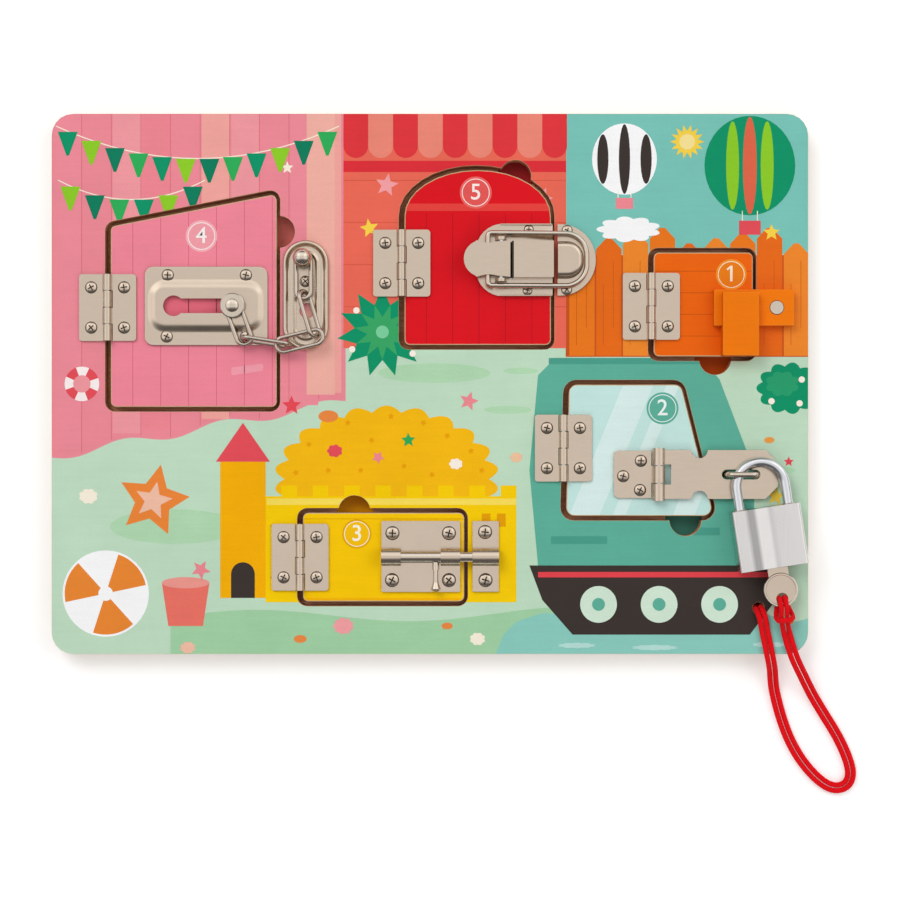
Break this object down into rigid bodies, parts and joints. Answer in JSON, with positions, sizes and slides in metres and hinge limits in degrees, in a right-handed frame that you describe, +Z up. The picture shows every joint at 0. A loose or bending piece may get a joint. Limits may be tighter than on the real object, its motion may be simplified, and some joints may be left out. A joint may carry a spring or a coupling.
{
  "type": "wooden padlock board",
  "caption": "Flat wooden busy board with small hinged doors, held by a magnet, a hasp and padlock, a bolt, a door chain and a toggle latch, with a corded key.",
  "frame": {"origin": "middle of the board's back face, which rests on the table", "axes": "+X to the right along the board's long side, +Y to its upper edge, +Z up out of its front face"},
  "size_m": [0.374, 0.316, 0.0253],
  "materials": {
    "board_wood": "printed matt wood",
    "back_wood": "bare matt plywood",
    "orange_wood": "painted satin wood",
    "aqua_wood": "printed satin wood",
    "yellow_wood": "printed satin wood",
    "pink_wood": "printed satin wood",
    "red_wood": "printed satin wood",
    "nickel": "satin warm nickel plate",
    "steel": "bright plated steel",
    "lock_metal": "brushed bright metal",
    "brass": "satin brass",
    "magnet": "flat nickel plated disc",
    "red_cord": "round woven cord"
  },
  "bodies": {
    "board": {"front_panel": "board_wood", "back_panel": "back_wood", "hinge_1_frame_leaf": "nickel", "hinge_2_frame_leaf": "nickel", "hinge_3_frame_leaf": "nickel", "hinge_4_frame_leaf": "nickel", "hinge_5_frame_leaf": "nickel", "hinge_1_pin": "steel", "hinge_2_pin": "steel", "hinge_3_pin": "steel", "hinge_4_pin": "steel", "hinge_5_pin": "steel", "frame_magnet": "magnet", "staple": "steel", "keeper": "nickel", "post_plate": "nickel", "post_knob": "nickel", "catch": "nickel", "chain_link_1": "steel", "chain_link_2": "steel", "chain_link_3": "steel", "chain_link_4": "steel", "chain_link_5": "steel", "cord": "red_cord"},
    "door_1": {"door_1": "orange_wood", "hinge_1_door_leaf": "nickel", "latch_bar": "orange_wood", "latch_grip": "orange_wood", "bar_magnet": "magnet"},
    "door_2": {"door_2": "aqua_wood", "hinge_2_door_leaf": "nickel", "hasp_leaf": "nickel", "hasp_pin": "steel"},
    "hasp": {"hasp_strap": "nickel"},
    "shackle": {"shackle": "steel"},
    "padlock": {"padlock_case": "lock_metal"},
    "key": {"key": "nickel", "lock_plug": "brass"},
    "door_3": {"door_3": "yellow_wood", "hinge_3_door_leaf": "nickel", "bolt_plate": "nickel"},
    "bolt": {"bolt_rod": "steel"},
    "door_4": {"door_4": "pink_wood", "hinge_4_door_leaf": "nickel", "track_plate": "nickel"},
    "slider": {"chain_slider": "nickel"},
    "door_5": {"door_5": "red_wood", "hinge_5_door_leaf": "nickel", "latch_base": "nickel", "lever_pin": "steel"},
    "lever": {"latch_lever": "nickel"},
    "bail": {"latch_bail": "steel"}
  },
  "joints": [
    {"name": "door_1_hinge", "type": "hinge", "parent": "board", "child": "door_1", "pos_m": [0.10232, 0.03581, 0.0143], "axis": [0, -1, 0], "range_deg": [0, 104]},
    {"name": "door_2_hinge", "type": "hinge", "parent": "board", "child": "door_2", "pos_m": [0.0617, -0.02973, 0.0143], "axis": [0, -1, 0], "range_deg": [0, 104]},
    {"name": "door_3_hinge", "type": "hinge", "parent": "board", "child": "door_3", "pos_m": [-0.05999, -0.08015, 0.0143], "axis": [0, -1, 0], "range_deg": [0, 104]},
    {"name": "door_4_hinge", "type": "hinge", "parent": "board", "child": "door_4", "pos_m": [-0.14889, 0.03523, 0.0143], "axis": [0, -1, 0], "range_deg": [0, 104]},
    {"name": "door_5_hinge", "type": "hinge", "parent": "board", "child": "door_5", "pos_m": [-0.013, 0.05577, 0.0143], "axis": [0, -1, 0], "range_deg": [0, 104]},
    {"name": "hasp_hinge", "type": "hinge", "parent": "door_2", "child": "hasp", "pos_m": [0.1056, -0.0419, 0.0152], "axis": [0, -1, 0], "range_deg": [0, 104]},
    {"name": "padlock_swing", "type": "hinge", "parent": "board", "child": "shackle", "pos_m": [0.15215, -0.04737, 0.0188], "axis": [0, 0, 1], "range_deg": [-16, 13], "deforming": ["cord"]},
    {"name": "case_pull", "type": "slide", "parent": "shackle", "child": "padlock", "axis": [0.1513, -0.9885, 0], "range_m": [0, 0.007], "deforming": ["cord"]},
    {"name": "key_turn", "type": "hinge", "parent": "padlock", "child": "key", "pos_m": [0.15961, -0.08427, 0.0188], "axis": [-0.1513, 0.9885, 0], "range_deg": [0, 45], "deforming": ["cord"]},
    {"name": "bolt_slide", "type": "slide", "parent": "door_3", "child": "bolt", "axis": [-1, 0, 0], "range_m": [0, 0.0143]},
    {"name": "chain_slide", "type": "slide", "parent": "board", "child": "slider", "axis": [-1, 0, 0], "range_m": [0, 0.0274], "deforming": ["chain_link_1", "chain_link_2", "chain_link_3", "chain_link_4", "chain_link_5"]},
    {"name": "lever_hinge", "type": "hinge", "parent": "door_5", "child": "lever", "pos_m": [0.0329, 0.0572, 0.0186], "axis": [0, 1, 0], "range_deg": [0, 120]},
    {"name": "bail_hinge", "type": "hinge", "parent": "lever", "child": "bail", "pos_m": [0.0267, 0.0572, 0.0186], "axis": [0, 1, 0], "range_deg": [-120, 0]}
  ],
  "couplings": [
    {"joint": "bail_hinge", "follows": "lever_hinge", "ratio": -1}
  ]
}
